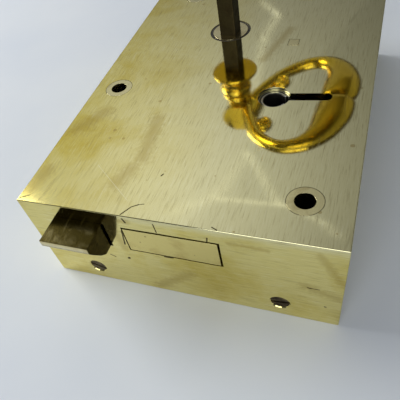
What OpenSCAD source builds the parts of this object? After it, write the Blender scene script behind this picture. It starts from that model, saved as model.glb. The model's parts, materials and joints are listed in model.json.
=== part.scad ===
// Brass rim lock with a sprung latch bolt, a lever deadbolt and a drop handle on a square spindle.
// Millimetres. The lock lies on its back cover: Z rises out of the face, X runs along the forend and
// the forend faces -Y. The origin is the middle of the back, where the lock meets the door.

/* [Case] */
// Width of the case along the forend
case_w = 102; // [98:1:150]
// Length of the case from the forend to the rear wall
case_l = 152; // [148:1:220]
// Thickness of the case off the door
case_t = 40; // [39:0.5:50]
// Thickness of the face plate
face_wall = 2.5; // [2:0.1:3]
// Thickness of the two side walls and the rear wall
rim_wall = 2.5; // [2:0.1:3.5]
// Thickness of the forend
forend_wall = 3; // [2.5:0.1:4]

/* [Back cover] */
// Thickness of the cover plate
cover_t = 2; // [1.5:0.1:2.5]
// Gap between the cover and the walls round it
cover_gap = 0.4; // [0.2:0.05:0.6]
// Width of the lugs that the cover screws bite in
lug_w = 10; // [8:0.5:14]
// Depth of those lugs behind the wall
lug_deep = 5; // [4:0.5:8]
// Height of the cover screws above the back
screw_up = 7.3; // [6.5:0.1:8]
// Distance of the cover screws from the side walls' outer faces
screw_in = 18.2; // [15:0.1:22]
// Radius of a cover screw's head
screw_head_r = 3; // [2.6:0.1:3.4]
// Radius of a cover screw's shank
screw_r = 1.6; // [1.3:0.1:2]

/* [Fixing pillars] */
// Radius of a pillar
pillar_r = 5.2; // [4.6:0.1:6]
// Radius of the screw hole in a pillar
pillar_bore_r = 3; // [2.6:0.1:3.4]
// Front pillar: distance in from the right side and from the forend
front_pillar = [13.6, 14.7];
// Side pillar: distance in from the left side and from the forend
side_pillar = [10, 60.4];
// Rear pillar: distance in from the left side and from the rear
rear_pillar = [19.5, 19.5];

/* [Latch bolt] */
// Middle of the latch bolt, in from the left side
latch_in = 20.55; // [20:0.05:22]
// Width of the latch bolt
latch_w = 17.1; // [15:0.1:17.5]
// Thickness of the latch bolt
latch_t = 11; // [9:0.1:12]
// Depth of its top below the face
latch_down = 5.7; // [5:0.1:7]
// How far it stands out of the forend
latch_out = 10; // [7:0.5:11]
// Height of its blunt nose
nose_t = 2.4; // [1.5:0.1:3]
// Width of its tail
tail_w = 13; // [12:0.1:13.4]
// Middle of its tail, in from the left side
tail_in = 22.3; // [22:0.1:22.6]

/* [Hub, spindle and handle] */
// Middle of the hub: in from the left side and from the forend
hub_at = [43.5, 102.5];
// Radius of the hub where it turns in the face
hub_r = 7.2; // [6.4:0.1:7.6]
// Width of the open groove round it in the face
hub_groove = 1; // [0.6:0.1:1.2]
// Turn of the hub that draws the latch in
hub_turn = 36; // [20:1:36]
// Side of the square spindle
spindle_side = 6.6; // [5.5:0.1:7]
// Length of spindle that shows between the face and the handle
spindle_show = 18.5; // [15:0.5:30]
// Angle of the spindle and handle about the hub at rest
handle_angle = -4; // [-15:1:5]
// Radius of the flared collar under the handle
collar_r = 9.9; // [9:0.1:11]
// Droop of the loop towards the face at rest
loop_droop = 10; // [5:0.1:20]

/* [Deadbolt] */
// Middle of the deadbolt, in from the left side
bolt_in = 51.3; // [51:0.1:51.6]
// Width of the deadbolt
bolt_w = 30.4; // [28:0.1:31]
// Thickness of the deadbolt
bolt_t = 10.7; // [9:0.1:12]
// Depth of its top below the face
bolt_down = 6.6; // [6:0.1:7.5]
// Travel of the deadbolt
bolt_throw = 14; // [12:0.5:14]
// Length of its solid head
bolt_head = 25; // [23:0.5:25]
// Thickness of its tail plate
tail_plate = 3.4; // [3:0.1:3.6]

/* [Keyway and levers] */
// Middle of the keyhole: in from the left side and from the forend
key_at = [70.5, 59.7];
// Angle of the key slot off the X axis
key_tilt = 5; // [0:1:8]
// Width of the key slot
key_slot_w = 3.9; // [3:0.1:4.4]
// Distance from the middle of the keyhole to the slot's end
key_reach = 19.2; // [17:0.1:19.6]
// Outer radius of the turning keyhole barrel
barrel_r = 5.5; // [5:0.1:6]
// Radius of the key's stem hole in the barrel
stem_r = 3.6; // [3:0.1:4]
// Thickness of a lever
lever_t = 2.2; // [1.8:0.1:2.4]
// Space between levers
lever_space = 0.6; // [0.5:0.05:0.8]
// Turn of a lever while the deadbolt travels
lever_lift = 5.6; // [4:0.1:6]
// Lever post: in from the left side and from the forend
post_at = [57, 83];
// Radius of the lever post where the levers turn
post_r = 2.5; // [2:0.1:3]

/* [Hidden] */
$fn = 64;

// Cut-through allowance, and the clearances of the fits
eps = 1;
fit = 0.05;
run = 0.3;
rivet_gap = 0.08;

// Faces of the case, and points measured in from its left side and forend
left = -case_w / 2;
right = case_w / 2;
front = -case_l / 2;
rear = case_l / 2;
inner_top = case_t - face_wall;
function at(p) = [left + p[0], front + p[1]];

hub_c = at(hub_at);
key_c = at(key_at);
post_c = at(post_at);
pillars = [[right - front_pillar[0], front + front_pillar[1]],
           at(side_pillar),
           [left + rear_pillar[0], rear - rear_pillar[1]]];
screw_xs = [left + screw_in, right - screw_in];
screw_l = forend_wall + cover_gap + lug_deep - 0.5;
lug_up = screw_up + lug_w / 2 - 1;

// Latch bolt
latch_x = left + latch_in;
latch_top = case_t - latch_down;
latch_bot = latch_top - latch_t;
latch_inside = 16;
latch_drop = 4;
bevel_in = 3.8;
bevel_knee = [1.6, 2.7];
bevel_toe = [4, 2.3];
mouth_gap = 0.35;
tail_x = left + tail_in;
latch_tail_t = 4;
tail_z = latch_top - latch_drop - latch_tail_t;
tail_end = hub_c[1] + 7.5;
rail = 2;
window = [front + latch_inside + 8, front + 54.3];
spring_post = [tail_x, front + 52];
spring_post_r = 2;
lug = [5, 4.2];
bridge = [2, 4.5];
bridge_y = hub_c[1] - 10;

// Latch spring
coil_r = 3;
wire_r = 0.5;
coil_turns = 8;

// Hub
hub_flange_r = hub_r + 2.3;
hub_flange_z = case_t / 2 + 2;
hub_low_r = hub_r - 1.2;
groove_deep = 1.2;
arm_r = latch_out / sin(hub_turn);
arm_w = 6;
arm_z = tail_z + latch_tail_t + 0.5;
arm_t = 4;
arm_gap = 0.5;
hub_play = 0.08;
low_flange_t = 1.2;

// Handle
socket_deep = 6.5;
end_gap = 0.2;
neck_h = 15;
neck_z = case_t + spindle_show;
pin_z = neck_z + neck_h + 8;
pin_r = 1.8;
tongue = [7, 4];
boss_r = 6.3;
boss_w = 12;
boss_out = 4.4;
scroll_at = [17.7, 15.2];
scroll_r = 5;
scroll_t = 5;
loop_drop = 4;
tongue_gap = 0.4;
loop_steps = 4;
loop_sides = 12;

// Deadbolt
bolt_x = left + bolt_in;
bolt_top = case_t - bolt_down;
plate_z = bolt_top - tail_plate;
bolt_back = front + bolt_head;
talon = 15;
talon_y = key_c[1] + bolt_throw / 2;
talon_x = key_c[0] - key_reach - 0.3;
plate_right = key_c[0] - barrel_r - 6;
stud_c = at([34.8, 72.5]);
stud_r = 2;
stud_head_r = 3.4;
stump = [5, 3];
stump_c = at([47, 46]);

// Levers
levers = 3;
lever_pitch = lever_t + lever_space;
lever_top = plate_z - lever_space;
lever_bot = lever_top - levers * lever_pitch + lever_space;
stump_rel = stump_c - post_c;
pocket_gap = 0.8;
gate_gap = 0.35;
gate_wall = 3;
lever_rim = 2.4;
boss_lever_r = 6.5;
spring_slot = [2, 3.5];
belly_lift = lever_lift * PI / 180 * (post_c[1] - key_c[1]);
bar_c = at([71, 94.2]);
bar = [3.9, 4.3];
spring_t = 0.8;
below = 0.6;

// ---------- helpers ----------

// Where the stump stands in a lever's own frame once the bolt has moved s
function lift_at(s) = lever_lift * s / bolt_throw;
function stump_x(s) = stump_rel[0] * cos(lift_at(s)) - (stump_rel[1] - s) * sin(lift_at(s));
function stump_y(s) = stump_rel[0] * sin(lift_at(s)) + (stump_rel[1] - s) * cos(lift_at(s));

module at_z(p, z) {
    translate([p[0], p[1], z]) children();
}

// A round rod or hole along +Y that starts at p
module rod_y(p, r, len) {
    translate(p) rotate([-90, 0, 0]) cylinder(r = r, h = len);
}

// The outline that a key needs: a round hole and a slot with a round end
module key_outline(hole_r) {
    circle(r = hole_r);
    rotate(key_tilt) {
        translate([0, -key_slot_w / 2]) square([key_reach - key_slot_w / 2, key_slot_w]);
        translate([key_reach - key_slot_w / 2, 0]) circle(r = key_slot_w / 2);
    }
}

// ---------- case, cover and what holds them ----------

// Head and shank of a cover screw along +Y, grown all round by a clearance
module screw_shape(gap) {
    rotate([-90, 0, 0]) {
        cylinder(r1 = screw_head_r + gap, r2 = screw_r + gap, h = screw_head_r - screw_r);
        cylinder(r = screw_r + gap, h = screw_l);
    }
}

// The same thing at each of the four screws; those in the rear wall point forwards
module each_screw() {
    for (x = screw_xs) {
        translate([x, front, screw_up]) children();
        translate([x, rear, screw_up]) rotate(180) children();
    }
}

// Face plate, with a hole for everything that comes through it
module case() {
    bar_hole = [bar[0] + 2 * rivet_gap, bar[1] + 2 * rivet_gap, face_wall + 2 * eps];
    color("#b5a45c") difference() {
        translate([left, front, inner_top]) cube([case_w, case_l, face_wall]);
        at_z(hub_c, inner_top - eps) cylinder(r = hub_r + fit, h = face_wall + 2 * eps);
        at_z(hub_c, case_t - groove_deep) cylinder(r = hub_r + hub_groove, h = groove_deep + eps);
        at_z(key_c, inner_top - eps) linear_extrude(face_wall + 2 * eps) key_outline(barrel_r + fit);
        for (p = pillars)
            at_z(p, inner_top - eps) cylinder(r = pillar_r + rivet_gap, h = face_wall + 2 * eps);
        at_z(bar_c, inner_top - eps) translate([-bar_hole[0] / 2, -bar_hole[1] / 2, 0]) cube(bar_hole);
    }
}

// Thick front wall with the mouths of the two bolts, a little slack at the deadbolt's right and foot
module forend() {
    slack = 0.35;
    color("#b5a45c") difference() {
        translate([left, front, 0]) cube([case_w, forend_wall, inner_top]);
        translate([latch_x - latch_w / 2 - mouth_gap, front - eps, latch_bot - mouth_gap])
            cube([latch_w + 2 * mouth_gap, forend_wall + 2 * eps, latch_t + 2 * mouth_gap]);
        translate([bolt_x - bolt_w / 2 - mouth_gap, front - eps, bolt_top - bolt_t - mouth_gap])
            cube([bolt_w + 2 * mouth_gap + slack, forend_wall + 2 * eps, bolt_t + 2 * mouth_gap + slack]);
        each_screw() screw_shape(fit);
    }
}

module side_rim(x) {
    color("#b5a45c") translate([x, front + forend_wall, 0])
        cube([rim_wall, case_l - forend_wall, inner_top]);
}

module rim_rear() {
    color("#b5a45c") difference() {
        translate([left + rim_wall, rear - rim_wall, 0]) cube([case_w - 2 * rim_wall, rim_wall, inner_top]);
        each_screw() screw_shape(fit);
    }
}

module back_cover() {
    wide = case_w - 2 * rim_wall - 2 * cover_gap;
    long = case_l - forend_wall - rim_wall - 2 * cover_gap;
    color("#9c8a4a") difference() {
        translate([-wide / 2, front + forend_wall + cover_gap, 0]) cube([wide, long, cover_t]);
        for (p = pillars)
            at_z(p, -eps) cylinder(r = pillar_r + 2 * rivet_gap, h = cover_t + 2 * eps);
        at_z(hub_c, -eps) cylinder(r = hub_low_r + fit, h = cover_t + 2 * eps);
        at_z(key_c, -eps) linear_extrude(cover_t + 2 * eps) key_outline(barrel_r + fit);
    }
}

// Four lugs on the cover that its screws bite in
module cover_lugs() {
    color("#9c8a4a") for (x = screw_xs, end = [0, 1])
        translate([x, end == 0 ? front : rear, 0]) rotate(180 * end) difference() {
            translate([-lug_w / 2, (end == 0 ? forend_wall : rim_wall) + cover_gap, cover_t])
                cube([lug_w, lug_deep, lug_up - cover_t]);
            rod_y([0, 0, screw_up], screw_r + fit, 3 * lug_deep);
        }
}

module cover_screws() {
    slot_w = 0.8;
    slot_deep = 0.9;
    slot_turn = 20;
    color("#6b5f3a") each_screw() difference() {
        screw_shape(0);
        rotate([0, slot_turn, 0]) translate([-screw_head_r - eps, -eps, -slot_w / 2])
            cube([2 * screw_head_r + 2 * eps, slot_deep + eps, slot_w]);
    }
}

module fixing_pillars() {
    color("#a8985a") for (p = pillars) at_z(p, 0) difference() {
        cylinder(r = pillar_r, h = case_t);
        translate([0, 0, -eps]) cylinder(r = pillar_bore_r, h = case_t + 2 * eps);
    }
}

// ---------- latch ----------

// Side outline of the latch head: flat on top, blunt nose, bevelled below
module latch_profile() {
    polygon([[-latch_out, 0], [-latch_out, -nose_t],
             [-latch_out + bevel_knee[0], -nose_t - bevel_knee[1]],
             [-latch_out + bevel_toe[0], -latch_t + bevel_toe[1]],
             [-bevel_in, -latch_t], [latch_inside, -latch_t], [latch_inside, 0]]);
}

// Head, tail with a window for the spring, and the lug that the hub's arm pulls
module latch_bolt() {
    color("#8f8348") difference() {
        union() {
            translate([latch_x - latch_w / 2, front, latch_top])
                rotate([90, 0, 90]) linear_extrude(latch_w) latch_profile();
            translate([tail_x - tail_w / 2, front + latch_inside - eps, tail_z])
                cube([tail_w, tail_end - front - latch_inside + eps, latch_tail_t]);
            translate([tail_x + tail_w / 2 - lug[0], hub_c[1] + arm_w / 2 + arm_gap, tail_z])
                cube([lug[0], lug[1], arm_z + arm_t - tail_z + run]);
        }
        translate([tail_x - tail_w / 2 + rail, window[0], tail_z - eps])
            cube([tail_w - 2 * rail, window[1] - window[0], latch_tail_t + 2 * eps]);
    }
}

// Ring of a swept wire: a small polygon round the coil at angle a
function coil_ring(a, y) = [for (k = [0:5])
    let (rr = coil_r + wire_r * cos(60 * k))
    [rr * cos(a), y + wire_r * sin(60 * k), rr * sin(a)]];

module latch_spring() {
    slack = 0.1;
    per_turn = 16;
    y0 = window[0] + wire_r + slack;
    y1 = spring_post[1] - spring_post_r - wire_r - slack;
    steps = coil_turns * per_turn;
    pts = [for (i = [0:steps]) each coil_ring(360 * i / per_turn, y0 + (y1 - y0) * i / steps)];
    sides = [for (i = [0:steps - 1], k = [0:5])
        [6 * i + k, 6 * i + 6 + k, 6 * i + 6 + (k + 1) % 6, 6 * i + (k + 1) % 6]];
    color("#5a5a58") translate([tail_x, 0, tail_z + latch_tail_t / 2])
        polyhedron(points = pts, convexity = 8,
                   faces = concat([[0, 1, 2, 3, 4, 5]], sides, [[for (k = [5:-1:0]) 6 * steps + k]]));
}

module latch_spring_post() {
    color("#7d7440") at_z(spring_post, tail_z - 2)
        cylinder(r = spring_post_r, h = inner_top - tail_z + 2);
}

// Strap over the latch tail that keeps it against the face
module latch_bridge() {
    side_gap = 0.5;
    half = tail_w / 2 + side_gap;
    low = tail_z - run - bridge[0];
    color("#8f8348") translate([tail_x, bridge_y, 0]) {
        for (s = [-1, 1])
            translate([s * (half + bridge[0] / 2) - bridge[0] / 2, 0, low])
                cube([bridge[0], bridge[1], inner_top - low]);
        translate([-half - bridge[0], 0, low]) cube([2 * half + 2 * bridge[0], bridge[1], bridge[0]]);
    }
}

// ---------- hub, spindle and handle ----------

module hub() {
    hole = spindle_side + 2 * hub_play;
    color("#a3985e") at_z(hub_c, 0) difference() {
        union() {
            translate([0, 0, cover_t + run]) cylinder(r = hub_flange_r, h = low_flange_t);
            translate([0, 0, run]) cylinder(r = hub_low_r, h = hub_flange_z);
            translate([0, 0, hub_flange_z]) cylinder(r = hub_flange_r, h = inner_top - run - hub_flange_z);
            translate([0, 0, hub_flange_z]) cylinder(r = hub_r, h = case_t - hub_flange_z);
            translate([-arm_r, -arm_w / 2, arm_z]) cube([arm_r, arm_w, arm_t]);
            translate([-arm_r, 0, arm_z]) cylinder(r = arm_w / 2, h = arm_t);
        }
        rotate(handle_angle) translate([-hole / 2, -hole / 2, -eps]) cube([hole, hole, case_t + 2 * eps]);
    }
}

// The handle's own frame: X is the way the loop hangs
module handle_frame() {
    at_z(hub_c, 0) rotate(handle_angle) children();
}

module spindle() {
    color("#3a382c") handle_frame() translate([-spindle_side / 2, -spindle_side / 2, 0])
        cube([spindle_side, spindle_side, neck_z + socket_deep - end_gap]);
}

// Half outline of the turned neck, from its flat underside up
module neck_outline() {
    polygon([[0, 0], [collar_r - 0.3, 0], [collar_r, 0.5], [collar_r, 1], [collar_r - 1, 2],
             [7.4, 3.4], [6.5, 5.2], [6.2, 6.6], [6.5, 7.2], [6.9, 8.6], [6.7, 10], [6.1, 10.9],
             [5.9, 11.2], [6.2, 11.6], [6.2, 12.3], [5.8, 12.9], [5.2, 13.2], [5.3, 13.7], [4.9, 14.5],
             [3.8, 15], [3.5, 15.2], [0, 15.2]]);
}

module handle_neck() {
    socket = spindle_side + 2 * fit;
    color("#b39338") handle_frame() translate([0, 0, neck_z]) difference() {
        union() {
            rotate_extrude() neck_outline();
            translate([-tongue[0] / 2, -tongue[1] / 2, neck_h])
                cube([tongue[0], tongue[1], pin_z - neck_z - neck_h]);
            translate([0, 0, pin_z - neck_z]) rotate([90, 0, 0])
                cylinder(r = tongue[0] / 2, h = tongue[1], center = true);
        }
        translate([-socket / 2, -socket / 2, -eps]) cube([socket, socket, socket_deep + eps]);
        translate([0, 0, pin_z - neck_z]) rotate([90, 0, 0])
            cylinder(r = pin_r + fit, h = tongue[1] + 2 * eps, center = true);
    }
}

module loop_pin() {
    color("#8a7c40") handle_frame() translate([0, 0, pin_z]) rotate([90, 0, 0])
        cylinder(r = pin_r, h = boss_w, center = true);
}

// Half of the loop's centreline: along the drop, across it, half width in its plane, half thickness
loop_half = [[6.7, 3, 2.6, 2.6], [10.6, 12.8, 2.9, 2.7], [16.3, 22, 2.9, 2.7], [24, 28.2, 2.9, 2.7],
             [31.6, 30.4, 3.1, 2.8], [39.3, 27.7, 4.2, 3.2], [44.4, 21, 6.2, 3.8], [46.5, 11.8, 8, 4.4],
             [46.8, 4, 8.2, 4.4], [46.8, 0, 7, 3.6]];
loop_all = concat(loop_half, [for (i = [len(loop_half) - 2:-1:0])
    [loop_half[i][0], -loop_half[i][1], loop_half[i][2], loop_half[i][3]]]);

// Smooth curve through the points, with its slope
function knot(i) = loop_all[max(0, min(len(loop_all) - 1, i))];
function curve(i, t) = 0.5 * (2 * knot(i) + (knot(i + 1) - knot(i - 1)) * t
    + (2 * knot(i - 1) - 5 * knot(i) + 4 * knot(i + 1) - knot(i + 2)) * t * t
    + (3 * knot(i) - knot(i - 1) - 3 * knot(i + 1) + knot(i + 2)) * t * t * t);
function slope(i, t) = curve(i, t + 0.02) - curve(i, t - 0.02);
function ring(p, d) = let (n = [-d[1], d[0]] / norm([d[0], d[1]]))
    [for (k = [0:loop_sides - 1]) let (a = 360 * k / loop_sides)
        [p[0] + n[0] * p[2] * cos(a), p[1] + n[1] * p[2] * cos(a), p[3] * sin(a)]];

module loop_ring() {
    spans = len(loop_all) - 1;
    rings = spans * loop_steps;
    pts = [for (j = [0:rings])
        let (i = min(floor(j / loop_steps), spans - 1), t = j / loop_steps - i)
        each ring(curve(i, t), slope(i, t))];
    n = loop_sides;
    sides = [for (j = [0:rings - 1], k = [0:n - 1])
        [n * j + k, n * j + n + k, n * j + n + (k + 1) % n, n * j + (k + 1) % n]];
    polyhedron(points = pts, convexity = 6,
               faces = concat([[for (k = [0:n - 1]) k]], sides, [[for (k = [n - 1:-1:0]) n * rings + k]]));
}

module drop_loop() {
    slot_w = tongue[1] + tongue_gap;
    slot_r = tongue[0] / 2 + tongue_gap;
    slot_side = slot_r - fit;
    slot_low = -boss_r - eps;
    color("#b8942c") handle_frame() translate([0, 0, pin_z]) rotate([0, loop_droop, 0]) difference() {
        union() {
            rotate([90, 0, 0]) cylinder(r = boss_r, h = boss_w, center = true);
            translate([0, -boss_w / 2, -boss_r]) cube([boss_out, boss_w, 2 * boss_r]);
            translate([boss_out, 0, 0]) rotate([90, 0, 0]) cylinder(r = boss_r, h = boss_w, center = true);
            translate([0, 0, -loop_drop]) {
                loop_ring();
                for (s = [-1, 1])
                    translate([scroll_at[0], s * scroll_at[1], -scroll_t / 2])
                        cylinder(r = scroll_r, h = scroll_t);
            }
        }
        rotate([90, 0, 0]) cylinder(r = pin_r + fit, h = boss_w + 2 * eps, center = true);
        // room for the tongue while the loop swings away from the face
        rotate([90, 0, 0]) cylinder(r = slot_r, h = slot_w, center = true);
        rotate([0, -loop_droop, 0]) translate([-slot_side, -slot_w / 2, slot_low - neck_h / 4])
            cube([2 * slot_side, slot_w, neck_h / 4 - slot_low]);
        translate([slot_low, -slot_w / 2, slot_low - neck_h / 4])
            cube([-slot_low, slot_w, slot_side + neck_h / 4 - slot_low]);
    }
}

// ---------- deadbolt ----------

module deadbolt() {
    slot = stud_r + run;
    plate_left = bolt_x - bolt_w / 2;
    post_side = post_c[0] - 5.5;
    post_front = post_c[1] - 4;
    hub_front = hub_c[1] - hub_flange_r - 1.5;
    stud_side = stud_c[0] - 4.8;
    stud_front = stud_c[1] - 8.5;
    color("#a99a55") difference() {
        union() {
            translate([plate_left, front, bolt_top - bolt_t]) cube([bolt_w, bolt_head, bolt_t]);
            translate([0, 0, plate_z]) linear_extrude(tail_plate)
                polygon([[plate_left, bolt_back - eps], [plate_right, bolt_back - eps],
                         [plate_right, post_front], [post_side, post_front], [post_side, hub_front],
                         [stud_side, hub_front], [stud_side, stud_front], [plate_left, stud_front]]);
        }
        // notch that the key turns in, and the slot over the guide stud
        translate([talon_x, talon_y - talon / 2, plate_z - eps])
            cube([plate_right - talon_x + eps, talon, tail_plate + 2 * eps]);
        for (y = [0, bolt_throw])
            at_z([stud_c[0], stud_c[1] + y], plate_z - eps) cylinder(r = slot, h = tail_plate + 2 * eps);
        translate([stud_c[0] - slot, stud_c[1], plate_z - eps])
            cube([2 * slot, bolt_throw, tail_plate + 2 * eps]);
    }
}

module bolt_stump() {
    color("#55524a") translate([stump_c[0] - stump[0] / 2, stump_c[1] - stump[1] / 2, lever_bot - below])
        cube([stump[0], stump[1], plate_z - lever_bot + below]);
}

// Stud with a shoulder above the deadbolt's plate and a head below it
module bolt_guide_stud() {
    head_t = 1.2;
    head_z = plate_z - run - head_t;
    color("#7d7440") at_z(stud_c, 0) {
        translate([0, 0, bolt_top + run]) cylinder(r = stud_head_r, h = inner_top - bolt_top - run);
        translate([0, 0, head_z]) cylinder(r = stud_r, h = inner_top - head_z);
        translate([0, 0, head_z]) cylinder(r = stud_head_r, h = head_t);
    }
}

// ---------- levers ----------

// One lever in its own frame, with its pivot at the origin
module lever_outline() {
    lo = stump_x(0) - stump[0] / 2;
    hi = stump_x(bolt_throw) + stump[0] / 2;
    near = stump_y(0) + stump[1] / 2 + pocket_gap;
    far = stump_y(bolt_throw) - stump[1] / 2 - pocket_gap;
    mid = stump_y(bolt_throw / 2);
    pocket_w = hi - lo + 2 * pocket_gap;
    foot = [-9, -20];
    enter = bolt_throw / 2 - gate_wall / 2 - stump[1] / 2;
    leave = bolt_throw - enter;
    gate_lo = stump_x(enter) - stump[0] / 2 - gate_gap;
    gate_hi = stump_x(leave) + stump[0] / 2 + gate_gap;
    edge_l = lo - pocket_gap - lever_rim;
    edge_r = hi + pocket_gap + lever_rim;
    difference() {
        union() {
            circle(r = boss_lever_r);
            polygon([[edge_l, far - lever_rim], [edge_r, far - lever_rim], [edge_r, near - 1],
                     [boss_lever_r - 1, -4], [0, 3], [-boss_lever_r + 0.3, -2], foot, [edge_l, near + 3]]);
        }
        circle(r = post_r + fit);
        translate([key_c[0] - post_c[0], key_c[1] - post_c[1]]) circle(r = key_reach - belly_lift);
        translate([lo - pocket_gap, mid + gate_wall / 2]) square([pocket_w, near - mid - gate_wall / 2]);
        translate([lo - pocket_gap, far]) square([pocket_w, mid - gate_wall / 2 - far]);
        translate([gate_lo, mid - gate_wall]) square([gate_hi - gate_lo, 2 * gate_wall]);
        translate(spring_slot) square([spring_t + 2 * fit, boss_lever_r]);
    }
}

function lever_z(i) = lever_top - lever_t - (i - 1) * lever_pitch;

module lever(i) {
    color("#bfa653") at_z(post_c, lever_z(i)) linear_extrude(lever_t) lever_outline();
}

// Flat spring let into a lever's boss; its free end bears on the spring bar
module lever_spring(i) {
    root = [spring_slot[0] + fit, spring_slot[1] + 2 * fit];
    over = bar_c[1] + bar[1] / 2 + run - post_c[1];
    tip = bar_c[0] + bar[0] / 2 + 2 - post_c[0];
    color("#4c4c4a") at_z(post_c, lever_z(i) + run) linear_extrude(lever_t - 2 * run) {
        translate(root) square([spring_t, over + spring_t - root[1]]);
        translate([root[0], over]) square([tip - root[0], spring_t]);
    }
}

module lever_post() {
    shoulder = 0.5;
    shoulder_gap = 0.1;
    tail = 1.6;
    color("#7d7440") at_z(post_c, 0) {
        translate([0, 0, lever_bot - tail]) cylinder(r = post_r, h = inner_top - lever_bot + tail);
        translate([0, 0, lever_top + shoulder_gap])
            cylinder(r = post_r + shoulder, h = inner_top - lever_top - shoulder_gap);
    }
}

// Thin washers that space the levers, and one under the riveted end
module lever_washers() {
    thin = 0.3;
    washer_r = post_r + 1.7;
    color("#6f6a58") at_z(post_c, 0) for (i = [1:levers])
        translate([0, 0, lever_z(i) - lever_space / 2 - thin / 2]) difference() {
            cylinder(r = washer_r, h = thin);
            translate([0, 0, -eps]) cylinder(r = post_r + fit, h = thin + 2 * eps);
        }
}

module spring_bar() {
    color("#a8985a") translate([bar_c[0] - bar[0] / 2, bar_c[1] - bar[1] / 2, lever_bot - below])
        cube([bar[0], bar[1], case_t - lever_bot + below]);
}

// ---------- keyhole barrel ----------

module key_barrel() {
    sunk = 1.2;
    flange_r = barrel_r + 1.9;
    flange_t = 2;
    color("#3c3c38") at_z(key_c, 0) difference() {
        union() {
            translate([0, 0, run]) cylinder(r = barrel_r, h = case_t - sunk - run);
            translate([0, 0, inner_top - run - flange_t]) cylinder(r = flange_r, h = flange_t);
            translate([0, 0, cover_t + run]) cylinder(r = flange_r, h = low_flange_t);
        }
        translate([0, 0, -eps]) cylinder(r = stem_r, h = case_t + 2 * eps);
        rotate(key_tilt) translate([0, -key_slot_w / 2, -eps])
            cube([flange_r + eps, key_slot_w, case_t + 2 * eps]);
    }
}

case();
forend();
side_rim(left);  // rim_left
side_rim(right - rim_wall);  // rim_right
rim_rear();
back_cover();
cover_lugs();
cover_screws();
fixing_pillars();
latch_bolt();
latch_spring();
latch_spring_post();
latch_bridge();
hub();
spindle();
handle_neck();
loop_pin();
drop_loop();
deadbolt();
bolt_stump();
bolt_guide_stud();
lever(1);  // lever_1
lever(2);  // lever_2
lever(3);  // lever_3
lever_spring(1);  // lever_spring_1
lever_spring(2);  // lever_spring_2
lever_spring(3);  // lever_spring_3
lever_post();
lever_washers();
spring_bar();
key_barrel();
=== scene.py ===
import bmesh
import bpy
import json
import math
from mathutils import Matrix, Vector


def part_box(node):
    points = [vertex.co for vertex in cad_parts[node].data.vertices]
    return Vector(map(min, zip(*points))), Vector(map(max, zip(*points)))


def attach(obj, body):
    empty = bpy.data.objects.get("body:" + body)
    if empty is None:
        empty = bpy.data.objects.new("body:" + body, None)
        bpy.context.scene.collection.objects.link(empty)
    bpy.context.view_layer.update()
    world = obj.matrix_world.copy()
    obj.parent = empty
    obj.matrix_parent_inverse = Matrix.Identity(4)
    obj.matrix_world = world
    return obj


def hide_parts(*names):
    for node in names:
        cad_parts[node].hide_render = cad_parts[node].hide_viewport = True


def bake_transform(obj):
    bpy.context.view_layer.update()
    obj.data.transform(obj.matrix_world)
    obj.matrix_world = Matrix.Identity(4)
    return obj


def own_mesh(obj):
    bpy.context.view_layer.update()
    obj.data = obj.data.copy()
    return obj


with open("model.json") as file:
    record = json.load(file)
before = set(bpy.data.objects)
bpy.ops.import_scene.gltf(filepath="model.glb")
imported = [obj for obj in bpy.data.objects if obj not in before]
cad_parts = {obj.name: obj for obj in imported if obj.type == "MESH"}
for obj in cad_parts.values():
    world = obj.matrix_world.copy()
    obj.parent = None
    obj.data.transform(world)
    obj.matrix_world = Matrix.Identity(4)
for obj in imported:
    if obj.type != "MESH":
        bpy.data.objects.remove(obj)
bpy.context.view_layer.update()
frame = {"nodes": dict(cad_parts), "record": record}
record = frame["record"]
nodes = frame["nodes"]
joints = {j["name"]: j for j in record["behaviour"]["joints"]}
mounts = {m["name"]: m for m in record["mounts"]}
MM = 0.001

# ---------------------------------------------------------------- table, daylight and camera
# The lock lies on its back on a sheet of pale card, in soft daylight from the left and behind.
# The camera looks down on it over the forend from the right.

scene = bpy.context.scene
camera = bpy.data.objects.new("camera", bpy.data.cameras.new("camera"))
scene.collection.objects.link(camera)
camera.data.sensor_width = 36.0
camera.data.lens = 40.42
camera.data.shift_x = 0.0313
camera.data.shift_y = 0.0469
camera.data.clip_start = 0.005
camera.location = (0.0487, -0.1442, 0.1357)
camera.rotation_euler = [math.radians(a) for a in (39.66, 10.02, 18.64)]
scene.camera = camera
scene.view_settings.view_transform = "Standard"


def add(tree, kind, inputs=None, **settings):
    """A node in a tree: inputs are values, or the sockets that they come from."""
    node = tree.nodes.new(kind)
    for key, value in settings.items():
        setattr(node, key, value)
    for key, value in (inputs or {}).items():
        socket = node.inputs[key]
        if isinstance(value, bpy.types.NodeSocket):
            tree.links.new(value, socket)
        elif socket.type == "RGBA":
            socket.default_value = (*value, 1.0)
        else:
            socket.default_value = value
    return node


def sums(tree, operation, *values, clamp=False):
    """The result of one Math node."""
    node = add(tree, "ShaderNodeMath", dict(enumerate(values)), operation=operation, use_clamp=clamp)
    return node.outputs[0]


def scaled(tree, value, by, plus=0.0, clamp=False):
    """A number times another, plus a third."""
    return sums(tree, "MULTIPLY_ADD", value, by, plus, clamp=clamp)


def spread(tree, value, start, end, kind="LINEAR"):
    """How far a number has gone from start to end, between 0 and 1."""
    node = add(tree, "ShaderNodeMapRange", {"Value": value, "From Min": start, "From Max": end},
               interpolation_type=kind)
    return node.outputs["Result"]


def vectors(tree, operation, first, second):
    """The result of one Vector Math node: a number for a product or a distance, else a vector."""
    node = add(tree, "ShaderNodeVectorMath", {0: first, 1: second}, operation=operation)
    return node.outputs["Value" if operation in ("DOT_PRODUCT", "DISTANCE") else "Vector"]


def noise(tree, place, scale, detail):
    """Soft blotches between 0 and 1."""
    node = add(tree, "ShaderNodeTexNoise", {"Vector": place, "Scale": scale, "Detail": detail})
    return node.outputs["Fac"]


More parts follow.
